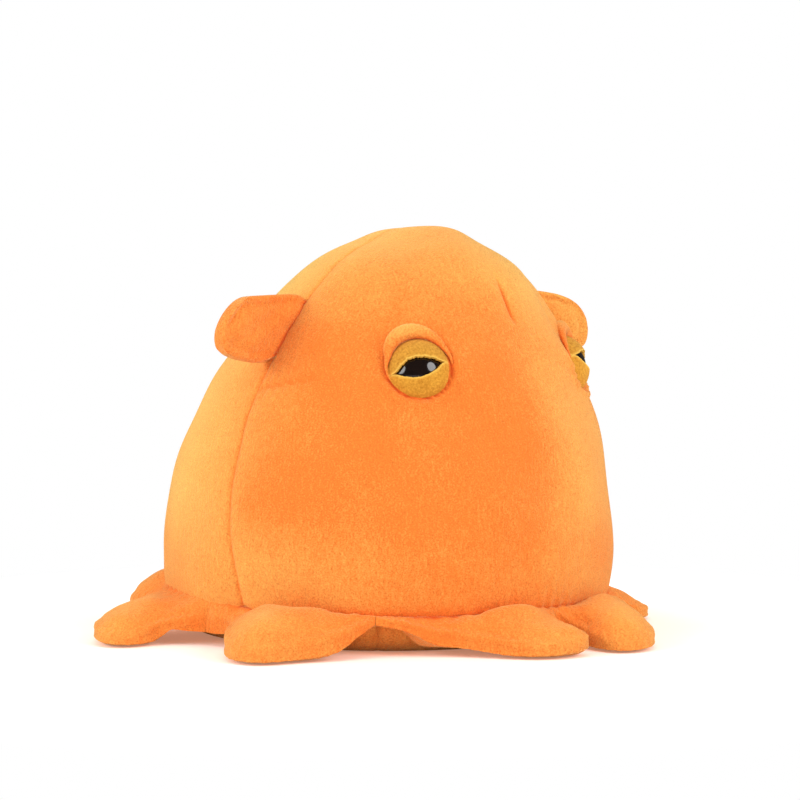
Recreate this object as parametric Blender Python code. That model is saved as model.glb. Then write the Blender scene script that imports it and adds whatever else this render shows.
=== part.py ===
"""A plush flapjack octopus that sits on its flat base: a domed stuffed bag of four panels, two fins,
two glossy eyes under fabric lids and brow rolls, and eight short arms joined by a narrow web.

Metres, +Z up. The face looks towards -Y and the base rests on z = 0, with the origin at its centre.
"Left" and "right" are the octopus's own: its left is +X.
"""

import math

import bmesh
import bpy
import numpy as np
from mathutils import Matrix, Vector

# The stuffed bag of the body
BODY_WIDTH = 0.2
BODY_HEIGHT = 0.1765
WIDEST_HEIGHT = 0.0375
TOP_LEAN = 0.018  # how far the top leans over the face
SKIRT_SEAM_HEIGHT = 0.015  # where the panels, the skirt and the base are sewn together
SKIRT_SEAM_TUCK = 0.0035  # how far that seam lies inside the widest line
BASE_FLAT_WIDTH = 0.164
SIDE_SEAM_FORWARD = 0.012  # the seam between the face and the back panels, in front of the middle
FABRIC = 0.002  # backing and pile together
GAP = 0.0003  # clearance between pieces that touch
DOME_ROUNDNESS = 1.82
LEAN_POWER = 1.65
AROUND = 48
SMOOTH_ANGLE = 40.0  # edges sharper than this stay crisp
DOME_LEVELS = 12
LOWER_LEVELS = 2
BASE_LEVELS = 4

# The arms, with the skirt seam as the line that each one folds along
ARM_COUNT = 8
ARM_ROOT_WIDTH = 0.044
ARM_ROOT_CLEARANCE = 0.0006
ARM_THICKNESS = 0.0185
ARM_FLOOR_CLEARANCE = 0.0004
ARM_ROOT_DROP = 0.0004  # the top of the root lies this far under the seam
ARM_AROUND = 16
ARM_SIDE_POWER = 2.5
ARM_STATION_SHARES = (0.0, 0.14, 0.3, 0.48, 0.66, 0.82, 0.93, 0.985)
ARM_WIDTH_SHARES = (1.0, 0.9, 0.78, 0.68, 0.61, 0.52, 0.36, 0.16)
ARM_TOP_SHARES = (1.0, 0.99, 0.99, 1.0, 0.96, 0.83, 0.62, 0.42)
ARM_FLOOR_SHARES = (0.0, 0.0, 0.0, 0.0, 0.01, 0.05, 0.15, 0.28)
ARM_TIP_SHARE = 0.34  # the tip's height, as a share of the thickness
# How far each tip swings round the body from its root's direction, front to back on each side
ARM_SWINGS_RIGHT = (21.0, 1.0, 10.0, -1.0)
ARM_SWINGS_LEFT = (-14.0, -10.0, -6.0, 5.0)
# How far each tip lies outside the seam, in the same order
ARM_REACHES_RIGHT = (0.027, 0.0345, 0.0355, 0.034)
ARM_REACHES_LEFT = (0.0295, 0.0255, 0.032, 0.0345)

# The web between two arms
WEB_THICKNESS = 0.0022
WEB_FLARE = 0.0036
WEB_DEPTH_MIDDLE = 0.0045
WEB_FLOOR_CLEARANCE = 0.0022  # under its two ends, beside the arms
WEB_ARCH_POWER = 2.4
WEB_STEPS = 8
WEB_LEVELS = 3

# The fins, sewn into the side seams, the left one a little higher than the right one
FIN_LOW_SHARES = {"left": 0.694, "right": 0.6657}  # the root's lower end, of the body's height
FIN_ROOT_RISE = 0.0285
FIN_REACH = 0.0345
FIN_THICKNESS = 0.0085
FIN_ROOT_THICKNESS = 0.0048
FIN_DROOP = 0.003
FIN_SWEEPS = {"left": 0.0125, "right": 0.008}  # how far the tip lies in front of the root
FIN_AROUND = 20
FIN_END_POWER = 4.2
FIN_PUFF_POWER = 0.7
FIN_ROOT_TURNS = (20, 50, 90)  # round the root's back edge, in degrees
FIN_STATION_SHARES = (0.06, 0.18, 0.34, 0.52, 0.7, 0.84, 0.93, 0.98)

# The eyes, the left one a little higher than the right one
EYE_ANGLE = 36.5
EYE_HEIGHT_SHARES = {"left": 0.6702, "right": 0.6487}  # of the body's height
EYE_ROLL = 11.0  # the inner corner is higher than the outer one
EYE_RADIUS = 0.0134
EYE_SINK = 0.0088  # the ball's centre lies this far under the face's surface
STEM_RADIUS = 0.002
STEM_LENGTH = 0.0085
WASHER_RADIUS = 0.0075
WASHER_THICKNESS = 0.0014
WASHER_CLEARANCE = 0.0008
LID_THICKNESS = 0.0013
LID_CORNER_ANGLE = 27.0
LID_BACK_ANGLE = 94.0
UPPER_SLIT_ANGLE = 17.5
LOWER_SLIT_ANGLE = 17.5
SLIT_POWER = 0.75
LID_STEPS = 14
LID_LEVELS = 6
BROW_THICKNESS = 0.0068
BROW_END_THICKNESS = 0.0018
BROW_PROUD = 0.0006  # the roll's centre line stands this far off the face
BROW_START_ANGLE = -8.0
BROW_END_ANGLE = 196.0
BROW_PEAK_POWER = 1.5
BROW_STEPS = 18
BROW_AROUND = 10

# Cutters run this far past what they cut
OVERRUN = 0.004
# The steps to each side that give the face's slope at an eye
PROBE_ANGLE = 0.5
PROBE_RISE = 0.0005

COLOURS = {
    "orange_plush": (0.97, 0.27, 0.05),
    "light_orange_plush": (0.98, 0.44, 0.12),
    "shaded_plush": (0.55, 0.08, 0.01),
    "mustard_felt": (0.70, 0.33, 0.04),
    "black_gloss": (0.012, 0.008, 0.006),
    "white_plastic": (0.75, 0.75, 0.72),
    "white_fibre": (0.85, 0.84, 0.80),
}
ROUGHNESS = {"black_gloss": 0.08, "white_plastic": 0.4}
FABRIC_ROUGHNESS = 0.9

HALF_WIDTH = BODY_WIDTH / 2
DOME_RISE = BODY_HEIGHT - WIDEST_HEIGHT
SEAM_RADIUS = HALF_WIDTH - SKIRT_SEAM_TUCK
BASE_RADIUS = BASE_FLAT_WIDTH / 2
LID_RADIUS = EYE_RADIUS + GAP + LID_THICKNESS
ARM_PITCH = 360 / ARM_COUNT


def finish(obj, name):
    """Gives a piece its material and smooth shading."""
    material = bpy.data.materials.new(obj.name + "_" + name)
    material.use_nodes = True
    shader = material.node_tree.nodes["Principled BSDF"]
    shader.inputs["Base Color"].default_value = (*COLOURS[name], 1)
    shader.inputs["Roughness"].default_value = ROUGHNESS.get(name, FABRIC_ROUGHNESS)
    shader.inputs["Metallic"].default_value = 0
    material.diffuse_color = (*COLOURS[name], 1)
    obj.data.materials.append(material)
    obj.data.shade_smooth()
    obj.data.set_sharp_from_angle(angle=math.radians(SMOOTH_ANGLE))
    return obj


def object_from(name, bm):
    bmesh.ops.recalc_face_normals(bm, faces=bm.faces[:])
    mesh = bpy.data.meshes.new(name)
    bm.to_mesh(mesh)
    bm.free()
    obj = bpy.data.objects.new(name, mesh)
    bpy.context.scene.collection.objects.link(obj)
    return obj


def skinned(name, rings, start, end):
    """A closed solid: a fan from the point start, strips from ring to ring, and a fan to the point end."""
    bm = bmesh.new()
    loops = [[bm.verts.new(point) for point in ring] for ring in rings]
    for point, loop in ((start, loops[0]), (end, loops[-1])):
        pole = bm.verts.new(point)
        for first, second in zip(loop, loop[1:] + loop[:1]):
            bm.faces.new((pole, first, second))
    for loop, following in zip(loops, loops[1:]):
        for i in range(len(loop)):
            bm.faces.new((loop[i - 1], loop[i], following[i], following[i - 1]))
    return object_from(name, bm)


def layered(name, outer, inner):
    """A closed solid between two grids of points, which meet along their four edges."""
    bm = bmesh.new()
    rows, columns = outer.shape[:2]
    sheets = [[[bm.verts.new(p) for p in row] for row in grid] for grid in (outer, inner)]
    for sheet in sheets:
        for row, following in zip(sheet, sheet[1:]):
            for j in range(1, columns):
                bm.faces.new((row[j - 1], row[j], following[j], following[j - 1]))
    front, back = sheets
    rim = [(0, j) for j in range(columns)] + [(i, columns - 1) for i in range(1, rows)]
    rim += [(rows - 1, j) for j in range(columns - 2, -1, -1)] + [(i, 0) for i in range(rows - 2, 0, -1)]
    for (i, j), (k, m) in zip(rim, rim[1:] + rim[:1]):
        bm.faces.new((front[i][j], front[k][m], back[k][m], back[i][j]))
    return object_from(name, bm)


def cutter(obj):
    obj.hide_render = True
    obj.display_type = "WIRE"
    return obj


def cut(obj, tool):
    """Takes the tool's shape out of the piece."""
    step = obj.modifiers.new("cut_by_" + tool.name, "BOOLEAN")
    step.operation = "DIFFERENCE"
    step.solver = "EXACT"
    step.object = tool
    return obj


def lean(height):
    """How far the bag's middle lies towards the face at a height."""
    share = np.clip((height - WIDEST_HEIGHT) / DOME_RISE, 0, 1)
    return TOP_LEAN * share**LEAN_POWER


def bag_ring(radius, height):
    turn = np.arange(AROUND) * 2 * math.pi / AROUND
    shape = np.stack([radius * np.sin(turn), -lean(height) - radius * np.cos(turn)], axis=1)
    return np.column_stack([shape, np.full(AROUND, height)])


def dome_level(share, inset):
    """The radius and height where a superellipse has turned a share of the way from the side to the top."""
    turn = share * math.pi / 2
    power = 2 / DOME_ROUNDNESS
    radius = (HALF_WIDTH - inset) * math.cos(turn) ** power
    return radius, WIDEST_HEIGHT + (DOME_RISE - inset) * math.sin(turn) ** power


def lower_radius(height, inset):
    """The bag draws in from its widest line to the skirt seam."""
    share = (WIDEST_HEIGHT - height) / (WIDEST_HEIGHT - SKIRT_SEAM_HEIGHT)
    return HALF_WIDTH - inset - SKIRT_SEAM_TUCK * share**2


def bag_levels(inset, bottom):
    """(radius, height) from the top of the bag down to the height of its lower edge."""
    dome = [dome_level(i / DOME_LEVELS, inset) for i in range(DOME_LEVELS - 1, -1, -1)]
    heights = np.linspace(WIDEST_HEIGHT, bottom, LOWER_LEVELS + 1)[1:]
    return dome + [(lower_radius(height, inset), height) for height in heights]


def base_levels(inset, top):
    """(radius, height) from the base's upper edge round a quarter ellipse to its flat."""
    turns = [i * math.pi / 2 / BASE_LEVELS for i in range(BASE_LEVELS + 1)]
    width = SEAM_RADIUS - inset - BASE_RADIUS
    depth = top - inset
    return [(BASE_RADIUS + width * math.cos(turn), top - depth * math.sin(turn)) for turn in turns]


def bag_top(inset):
    height = BODY_HEIGHT - inset
    return 0, -lean(height), height


def rings_at(levels):
    return [bag_ring(radius, height) for radius, height in levels]


def bag_point(angle, height):
    """A point of the bag's outer surface above its widest line, at an angle from the front."""
    share = (height - WIDEST_HEIGHT) / DOME_RISE
    radius = HALF_WIDTH * (1 - share**DOME_ROUNDNESS) ** (1 / DOME_ROUNDNESS)
    turn = math.radians(angle)
    return Vector((radius * math.sin(turn), -lean(height) - radius * math.cos(turn), height))


def make_body_cutter():
    """The bag swollen by the clearance, which seats what is sewn on its surface."""
    rings = rings_at(bag_levels(-GAP, SKIRT_SEAM_HEIGHT))
    return cutter(skinned("body_cutter", rings, bag_top(-GAP), (0, 0, SKIRT_SEAM_HEIGHT)))


def bag_shell(name):
    """The whole fabric dome, open at the skirt seam."""
    bottom = SKIRT_SEAM_HEIGHT + GAP / 2
    outside = rings_at(bag_levels(0, bottom))
    inside = rings_at(bag_levels(FABRIC, bottom))
    return skinned(name, outside + inside[::-1], bag_top(0), bag_top(FABRIC))


def keep_side(obj, point, outward):
    """Cuts a piece at a plane, drops what lies outward of it and closes the cut."""
    bm = bmesh.new()
    bm.from_mesh(obj.data)
    geometry = bm.verts[:] + bm.edges[:] + bm.faces[:]
    bmesh.ops.bisect_plane(bm, geom=geometry, plane_co=point, plane_no=outward, clear_outer=True)
    open_edges = [edge for edge in bm.edges if edge.is_boundary]
    bmesh.ops.holes_fill(bm, edges=open_edges, sides=0)
    bmesh.ops.recalc_face_normals(bm, faces=bm.faces[:])
    bm.to_mesh(obj.data)
    bm.free()


def make_panels():
    """The face panel in front of the side seams, and two back panels that meet behind."""
    face = bag_shell("face_panel")
    keep_side(face, (0, -SIDE_SEAM_FORWARD - GAP / 2, 0), (0, 1, 0))
    for side, sign in (("left", 1), ("right", -1)):
        back = bag_shell("back_panel_" + side)
        keep_side(back, (0, -SIDE_SEAM_FORWARD + GAP / 2, 0), (0, -1, 0))
        keep_side(back, (sign * GAP / 2, 0, 0), (-sign, 0, 0))
        finish(back, "light_orange_plush")
    return finish(face, "orange_plush")


def make_base():
    """The underside: a shallow bowl with the flat that the octopus sits on."""
    top = SKIRT_SEAM_HEIGHT - GAP / 2
    outside = rings_at(base_levels(0, top))
    inside = rings_at(base_levels(FABRIC, top))
    finish(skinned("base_panel", outside[::-1] + inside, (0, 0, 0), (0, 0, FABRIC)), "shaded_plush")


def make_filling():
    """The fibre that fills the bag, a clearance inside the fabric."""
    inset = FABRIC + GAP
    levels = bag_levels(inset, SKIRT_SEAM_HEIGHT) + base_levels(inset, SKIRT_SEAM_HEIGHT)[1:]
    return finish(skinned("body_filling", rings_at(levels), bag_top(inset), (0, 0, inset)), "white_fibre")


def eye_place(side, sign):
    """The eye's own frame: x to the octopus's left along the slit, y up the face and z straight out."""
    angle, height = sign * EYE_ANGLE, BODY_HEIGHT * EYE_HEIGHT_SHARES[side]
    across = (bag_point(angle + PROBE_ANGLE, height) - bag_point(angle - PROBE_ANGLE, height)).normalized()
    upward = bag_point(angle, height + PROBE_RISE) - bag_point(angle, height - PROBE_RISE)
    out = across.cross(upward).normalized()
    frame = Matrix((across, out.cross(across), out)).transposed().to_4x4()
    roll = Matrix.Rotation(-sign * math.radians(EYE_ROLL), 4, "Z")
    return Matrix.Translation(bag_point(angle, height)) @ frame @ roll


def turned(name, profile, place):
    """A round piece from a profile of (radius, height) that starts and ends on the axis."""
    turn = np.arange(LID_STEPS * 2) * math.pi / LID_STEPS
    rings = [
        np.stack([radius * np.cos(turn), radius * np.sin(turn), np.full(len(turn), height)], axis=1)
        for radius, height in profile[1:-1]
    ]
    obj = skinned(name, rings, (0, 0, profile[0][1]), (0, 0, profile[-1][1]))
    obj.matrix_world = place
    return obj


def rod(name, radius, low, high, place):
    return turned(name, [(0, high), (radius, high), (radius, low), (0, low)], place)


def make_eyeball(side, place):
    """The black safety eye: a polished cap with a flat back, on a stem that goes through the face."""
    edge = math.acos((EYE_SINK + GAP) / EYE_RADIUS)
    turns = [edge * i / LID_LEVELS for i in range(LID_LEVELS + 1)]
    cap = [(EYE_RADIUS * math.sin(turn), EYE_RADIUS * math.cos(turn) - EYE_SINK) for turn in turns]
    stem = [(STEM_RADIUS, GAP), (STEM_RADIUS, -STEM_LENGTH), (0, -STEM_LENGTH)]
    finish(turned("eye_" + side, cap + stem, place), "black_gloss")


def lid_grid(radius, slit_angle, sign, across):
    """Part of a ball, as lune angles from the slit's edge to behind the face, between the eye's corners."""
    corner = math.radians(LID_CORNER_ANGLE)
    along = np.linspace(0, 1, LID_STEPS + 1)[:, None]
    polar = corner + (math.pi - 2 * corner) * along
    edge = GAP / EYE_RADIUS + math.radians(slit_angle) * np.sin(math.pi * along) ** SLIT_POWER
    lune = sign * (edge + (math.radians(LID_BACK_ANGLE) - edge) * across)
    return radius * np.stack(
        [np.cos(polar) + 0 * lune, np.sin(polar) * np.sin(lune), np.sin(polar) * np.cos(lune)], axis=2
    ) - np.array((0, 0, EYE_SINK))


def make_lids(side, place, body_cutter):
    """Two felt lids, bent over the eye like a split ball and sewn down round their backs."""
    across = np.linspace(0, 1, LID_LEVELS + 1)[None, :]
    for name, slit_angle, sign in (("upper", UPPER_SLIT_ANGLE, 1), ("lower", LOWER_SLIT_ANGLE, -1)):
        outer = lid_grid(LID_RADIUS, slit_angle, sign, across)
        inner = lid_grid(EYE_RADIUS + GAP, slit_angle, sign, across)
        lid = layered(name + "_lid_" + side, outer, inner)
        lid.matrix_world = place
        finish(cut(lid, body_cutter), "mustard_felt")


def make_brow(side, place, body_cutter):
    """A stuffed crescent that lies against the lids' ball and thins out towards its ends."""
    rings = []
    around = np.arange(BROW_AROUND) * 2 * math.pi / BROW_AROUND
    for i in range(BROW_STEPS + 1):
        share = i / BROW_STEPS
        turn = math.radians(BROW_START_ANGLE + (BROW_END_ANGLE - BROW_START_ANGLE) * share)
        swell = math.sin(math.pi * share) ** BROW_PEAK_POWER
        thick = (BROW_END_THICKNESS + (BROW_THICKNESS - BROW_END_THICKNESS) * swell) / 2
        middle = math.sqrt((LID_RADIUS + GAP + thick) ** 2 - (EYE_SINK + BROW_PROUD) ** 2)
        reach = middle + thick * np.cos(around)
        height = BROW_PROUD + thick * np.sin(around)
        rings.append(np.stack([reach * math.cos(turn), reach * math.sin(turn), height], axis=1))
    brow = skinned("brow_" + side, rings, rings[0].mean(axis=0), rings[-1].mean(axis=0))
    brow.matrix_world = place
    finish(cut(brow, body_cutter), "light_orange_plush")


def make_eye(side, sign, face, filling, body_cutter):
    """One eye, from the washer inside the face to the brow over it."""
    place = eye_place(side, sign)
    washer_front = -FABRIC - WASHER_CLEARANCE
    washer_back = washer_front - WASHER_THICKNESS
    hole = cutter(rod("stem_hole_" + side, STEM_RADIUS + GAP, -STEM_LENGTH - OVERRUN, OVERRUN, place))
    pocket_floor = -STEM_LENGTH - GAP
    pocket = cutter(rod("washer_pocket_" + side, WASHER_RADIUS + GAP, pocket_floor, OVERRUN, place))
    washer = rod("eye_washer_" + side, WASHER_RADIUS, washer_back, washer_front, place)
    finish(cut(washer, hole), "white_plastic")
    cut(face, hole)
    cut(filling, pocket)
    make_eyeball(side, place)
    make_lids(side, place, body_cutter)
    make_brow(side, place, body_cutter)


def fin_root(side, sign):
    """The middle of the root's hinge line, the line's lean from upright, and its length."""
    bottom = BODY_HEIGHT * FIN_LOW_SHARES[side]
    ends = []
    for height in (bottom, bottom + FIN_ROOT_RISE / 2, bottom + FIN_ROOT_RISE):
        radius = bag_point(90, height).x
        forward = SIDE_SEAM_FORWARD - float(lean(height))
        ends.append(Vector((sign * math.sqrt(radius**2 - forward**2), -SIDE_SEAM_FORWARD, height)))
    low, middle, high = ends
    line = high - low
    tilt = math.atan2(line.x, line.z)
    outward = Vector((sign * math.cos(tilt), 0, -sign * math.sin(tilt)))
    return middle + outward * (FIN_ROOT_THICKNESS / 2 + GAP), tilt, line.length


def make_fin(side, sign):
    """A lightly stuffed flap with a rounded end, whose round root edge lies along the side seam."""
    middle, tilt, length = fin_root(side, sign)
    upright = Matrix.Rotation(-tilt, 3, "Y")
    around = np.arange(FIN_AROUND) * 2 * math.pi / FIN_AROUND
    corner = 2 / FIN_END_POWER
    along = np.sign(np.cos(around)) * np.abs(np.cos(around)) ** corner * length / 2
    through = np.sin(around) / 2
    root_half = FIN_ROOT_THICKNESS / 2
    rings, flat = [], np.zeros(FIN_AROUND)
    for turn in FIN_ROOT_TURNS:
        offset = -root_half * math.cos(math.radians(turn))
        thick = FIN_ROOT_THICKNESS * math.sin(math.radians(turn))
        rings.append(np.stack([flat + offset, through * thick, along], axis=1))
    reach = upright @ Vector((sign * FIN_REACH, -FIN_SWEEPS[side], 0))
    droop = upright @ Vector((0, 0, -FIN_DROOP))
    for share in FIN_STATION_SHARES:
        end = (1 - share**FIN_END_POWER) ** (1 / FIN_END_POWER)
        puff = math.sin(math.pi * share**FIN_PUFF_POWER)
        thick = (FIN_ROOT_THICKNESS + (FIN_THICKNESS - FIN_ROOT_THICKNESS) * puff) * end
        ring = np.stack([flat, through * thick, along * end], axis=1)
        rings.append(ring + np.array(reach * share + droop * share**2))
    for ring in rings[: len(FIN_ROOT_TURNS)]:
        ring[:, 0] *= sign
    fin = skinned("fin_" + side, rings, rings[0].mean(axis=0), reach + droop)
    fin.location = middle
    fin.rotation_euler = (0, tilt, 0)
    finish(fin, "orange_plush")


def arm_section(width, top, bottom, middle_height):
    """A ring of an arm: superellipse halves above and below the line where its two fabrics meet."""
    turn = np.arange(ARM_AROUND) * 2 * math.pi / ARM_AROUND
    power = 2 / ARM_SIDE_POWER
    side = np.sign(np.cos(turn)) * np.abs(np.cos(turn)) ** power * width / 2
    rise = np.sign(np.sin(turn)) * np.abs(np.sin(turn)) ** power
    height = np.where(rise > 0, middle_height + rise * (top - middle_height),
                      middle_height + rise * (middle_height - bottom))
    return side, height


def make_arm(side, number, angle, swing, reach):
    """A stuffed lobe that rests on its underside; its origin is on the line where it folds at the seam."""
    hinge_radius = SEAM_RADIUS + ARM_ROOT_CLEARANCE
    floor = ARM_FLOOR_CLEARANCE - SKIRT_SEAM_HEIGHT
    full = ARM_FLOOR_CLEARANCE + ARM_THICKNESS - SKIRT_SEAM_HEIGHT
    tip_radius = hinge_radius + reach
    tip = np.array((tip_radius * math.cos(math.radians(swing)) - hinge_radius,
                    tip_radius * math.sin(math.radians(swing))))
    bend = np.array((reach / 2, 0))
    rings = []
    for share, width, top, lift in zip(
        ARM_STATION_SHARES, ARM_WIDTH_SHARES, ARM_TOP_SHARES, ARM_FLOOR_SHARES
    ):
        centre = 2 * share * (1 - share) * bend + share**2 * tip
        heading = (1 - 2 * share) * bend + share * tip
        turn = share * math.atan2(heading[1], heading[0])
        start = min(1, share / ARM_STATION_SHARES[2])
        ceiling = -ARM_ROOT_DROP + (full + ARM_ROOT_DROP) * start if start < 1 else full
        high = floor + (ceiling - floor) * top
        low = floor + ARM_THICKNESS * lift
        across, height = arm_section(ARM_ROOT_WIDTH * width, high, low, (high + low) / 2)
        follow = (1 - start) * (np.sqrt(hinge_radius**2 - across**2) - hinge_radius)
        x = centre[0] - across * math.sin(turn) + follow
        y = centre[1] + across * math.cos(turn)
        rings.append(np.stack([x, y, height], axis=1))
    root = rings[0]
    middle = np.array((0, 0, root[:, 2].mean()))
    half = middle + (root - middle) / 2
    half[:, 0] = np.sqrt(hinge_radius**2 - half[:, 1] ** 2) - hinge_radius
    end = (*tip, floor + ARM_THICKNESS * ARM_TIP_SHARE)
    arm = skinned(f"arm_{side}_{number}", [half] + rings, middle, end)
    turn = math.radians(angle)
    arm.location = (hinge_radius * math.sin(turn), -hinge_radius * math.cos(turn), SKIRT_SEAM_HEIGHT)
    arm.rotation_euler = (0, 0, turn - math.pi / 2)
    finish(arm, "orange_plush")


def make_web(name, angle):
    """A short strip that hangs from the skirt seam between two arms, its lower edge arched."""
    arm_half = math.degrees(math.asin((ARM_ROOT_WIDTH / 2 + ARM_ROOT_CLEARANCE) / SEAM_RADIUS))
    half = math.radians(ARM_PITCH / 2 - arm_half)
    share = np.linspace(-1, 1, WEB_STEPS + 1)[:, None]
    down = np.linspace(0, 1, WEB_LEVELS + 1)[None, :]
    turn = math.radians(angle) + half * share + 0 * down
    full_depth = SKIRT_SEAM_HEIGHT - WEB_FLOOR_CLEARANCE
    depth = WEB_DEPTH_MIDDLE + (full_depth - WEB_DEPTH_MIDDLE) * np.abs(share) ** WEB_ARCH_POWER
    height = SKIRT_SEAM_HEIGHT - depth * down
    inside = SEAM_RADIUS + 2 * GAP + WEB_FLARE * down**2 + 0 * share
    grids = [
        np.stack([radius * np.sin(turn), -radius * np.cos(turn), height], axis=2)
        for radius in (inside + WEB_THICKNESS, inside)
    ]
    finish(layered(name, *grids), "orange_plush")


def make_skirt():
    """Eight arms, front to back on each side, and the eight webs between them."""
    left = ("left", 1, ARM_SWINGS_LEFT, ARM_REACHES_LEFT)
    right = ("right", -1, ARM_SWINGS_RIGHT, ARM_REACHES_RIGHT)
    for side, sign, swings, reaches in (left, right):
        for number, (swing, reach) in enumerate(zip(swings, reaches), 1):
            make_arm(side, number, sign * ARM_PITCH * (number - 1 / 2), swing, reach)
        for number in range(1, len(swings)):
            make_web(f"web_{side}_{number}", sign * ARM_PITCH * number)
    make_web("web_front", 0)
    make_web("web_back", 180)


for old in list(bpy.data.objects):
    bpy.data.objects.remove(old, do_unlink=True)

bag_cutter = make_body_cutter()
face_panel = make_panels()
make_base()
body_filling = make_filling()
for eye_side, eye_sign in (("left", 1), ("right", -1)):
    make_eye(eye_side, eye_sign, face_panel, body_filling, bag_cutter)
    make_fin(eye_side, eye_sign)
make_skirt()
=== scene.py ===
"""A plush flapjack octopus in short-pile orange plush, sitting on a white studio floor.

Metres, +Z up. The face looks towards -Y, "left" and "right" are the octopus's own (its left is +X),
and angles round the body start at the front and grow towards its left.
"""

import math

import bpy
import numpy as np
from mathutils import Matrix


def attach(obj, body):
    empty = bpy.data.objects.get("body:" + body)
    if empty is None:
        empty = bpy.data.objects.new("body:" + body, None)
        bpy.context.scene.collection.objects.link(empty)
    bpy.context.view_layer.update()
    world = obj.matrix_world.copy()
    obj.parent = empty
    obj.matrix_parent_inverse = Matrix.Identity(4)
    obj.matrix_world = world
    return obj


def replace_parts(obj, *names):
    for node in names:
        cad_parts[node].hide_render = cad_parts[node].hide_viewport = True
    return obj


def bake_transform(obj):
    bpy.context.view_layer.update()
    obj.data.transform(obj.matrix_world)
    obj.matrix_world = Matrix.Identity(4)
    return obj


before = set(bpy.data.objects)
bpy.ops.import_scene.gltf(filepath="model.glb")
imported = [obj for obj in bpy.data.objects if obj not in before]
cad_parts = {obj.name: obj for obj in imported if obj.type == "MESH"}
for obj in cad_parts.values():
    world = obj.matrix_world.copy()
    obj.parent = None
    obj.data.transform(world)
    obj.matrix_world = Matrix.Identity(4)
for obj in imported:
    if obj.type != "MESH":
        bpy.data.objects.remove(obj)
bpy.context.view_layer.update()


# ---- The bag of the body ------------------------------------------------------------------------
# Three panels of short-pile plush, cut as gores and sewn edge to edge: a deep orange face panel and two
# back panels, painted paler as sheen and light on the sides, which meet it in the side seams and each other
# down the back. Stuffing swells them.

HALF_WIDTH = 0.1
BODY_HEIGHT = 0.1765
WIDEST_HEIGHT = 0.0375
SKIRT_SEAM_HEIGHT = 0.015
SKIRT_SEAM_TUCK = 0.0035
SEAM_RADIUS = HALF_WIDTH - SKIRT_SEAM_TUCK
TOP_LEAN = 0.018
LEAN_POWER = 1.65
ROUNDNESS = 1.82
FABRIC = 0.0018
TOP_MIDDLE = np.array((0, -TOP_LEAN, WIDEST_HEIGHT))  # the gores' middle, straight under the top
# Where the side seams run: a height, and how far in front of the middle they lie there
SIDE_SEAM_HEIGHTS = (0.015, 0.03, 0.045, 0.07, 0.09, 0.105, 0.118, 0.136, 0.147, 0.158, 0.1765)
SIDE_SEAM_FORWARDS = (0.017, 0.0165, 0.013, 0.0102, 0.0095, 0.0118, 0.0125, 0.0132, 0.0165, 0.0195, 0.018)
# Each eye: its place on the face, and its own directions along the slit, up the face and out
EYES = {
    "left": np.array(((0.046043, -0.069577, 0.1183), (0.835501, 0.52117, -0.174125),
                      (-0.085398, 0.43619, 0.895793), (0.542812, -0.733566, 0.408944))),
    "right": np.array(((-0.04729, -0.070701, 0.1145), (0.832858, -0.524742, 0.17605),
                       (0.071789, 0.417801, 0.905698), (-0.548812, -0.741679, 0.385639))),
}
# The heights of the darts in front of the left and the right fin's root, 28.5 mm in front of the middle
FIN_DARTS = {1: 0.1131, -1: 0.1083}
# The seam down the back starts behind the top, and is as deep as ever after this stretch
BACK_SEAM_START = (-0.017, -0.005)
# Soft lumps of stuffing: each one's radians per metre to the left, back and up, and where its sine starts
STUFFING_LUMPS = (((68.2, 37.4, 48.4), 0.4), ((-41.8, 72.6, 90.2), 1.9), ((103.4, -63.8, 127.6), 3.1),
                  ((-136.4, 112.2, 81.4), 4.4))


def ease(value, start, end):
    """0 before start and 1 after end, with the smooth cubic 3x^2 - 2x^3 between."""
    share = np.clip((value - start) / (end - start), 0, 1)
    return share * share * (3 - 2 * share)


def bell(value, width):
    """A bump of height 1 at 0 that has sunk to 0.37 at the width: e to the minus square."""
    return np.exp(-(value / width) ** 2)


def seam_forward(height):
    """Straight lines between the seam's points, averaged over 12 mm of height to round their corners."""
    steps = np.linspace(-0.006, 0.006, 7)
    return sum(np.interp(height + step, SIDE_SEAM_HEIGHTS, SIDE_SEAM_FORWARDS) for step in steps) / 7


def bag_level(points):
    """Under 0 inside the bag and over 0 outside. Above the widest line it is a superellipse of the height and
    the distance from a middle that leans forward; below, the radius draws in with the square of the drop."""
    x, y, z = np.moveaxis(points, -1, 0)
    share = np.clip((z - WIDEST_HEIGHT) / (BODY_HEIGHT - WIDEST_HEIGHT), 0, None)
    drop = np.clip((WIDEST_HEIGHT - z) / (WIDEST_HEIGHT - SKIRT_SEAM_HEIGHT), 0, None)
    away = np.hypot(x, y + TOP_LEAN * share**LEAN_POWER)
    return (away / (HALF_WIDTH - SKIRT_SEAM_TUCK * drop**2)) ** ROUNDNESS + share**ROUNDNESS - 1


def bag_slope(points):
    """The outward direction of the level's steepest growth and its steepness, by central differences."""
    step = 1e-5
    slope = [bag_level(points + step * axis) - bag_level(points - step * axis) for axis in np.eye(3)]
    slope = np.stack(slope, -1)
    steepness = np.linalg.norm(slope, axis=-1, keepdims=True)
    return slope / np.maximum(steepness, 1e-12), steepness[..., 0] / (2 * step)


def bag_gap(points):
    """Roughly how far points stand off the plain bag, from its level and the level's steepness."""
    return bag_level(points) / np.maximum(bag_slope(points)[1], 1e-6)


def bag_hit(turn, rise):
    """Where straight rays from the gores' middle leave the bag, halving the stretch 40 times."""
    ray = np.stack([np.sin(turn) * np.cos(rise), -np.cos(turn) * np.cos(rise), np.sin(rise)], -1)
    near, far = np.zeros(ray.shape[:-1]), np.full(ray.shape[:-1], 0.2)
    for _ in range(40):
        middle = (near + far) / 2
        outside = bag_level(TOP_MIDDLE + middle[..., None] * ray) > 0
        near, far = np.where(outside, near, middle), np.where(outside, middle, far)
    return TOP_MIDDLE + near[..., None] * ray


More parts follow.
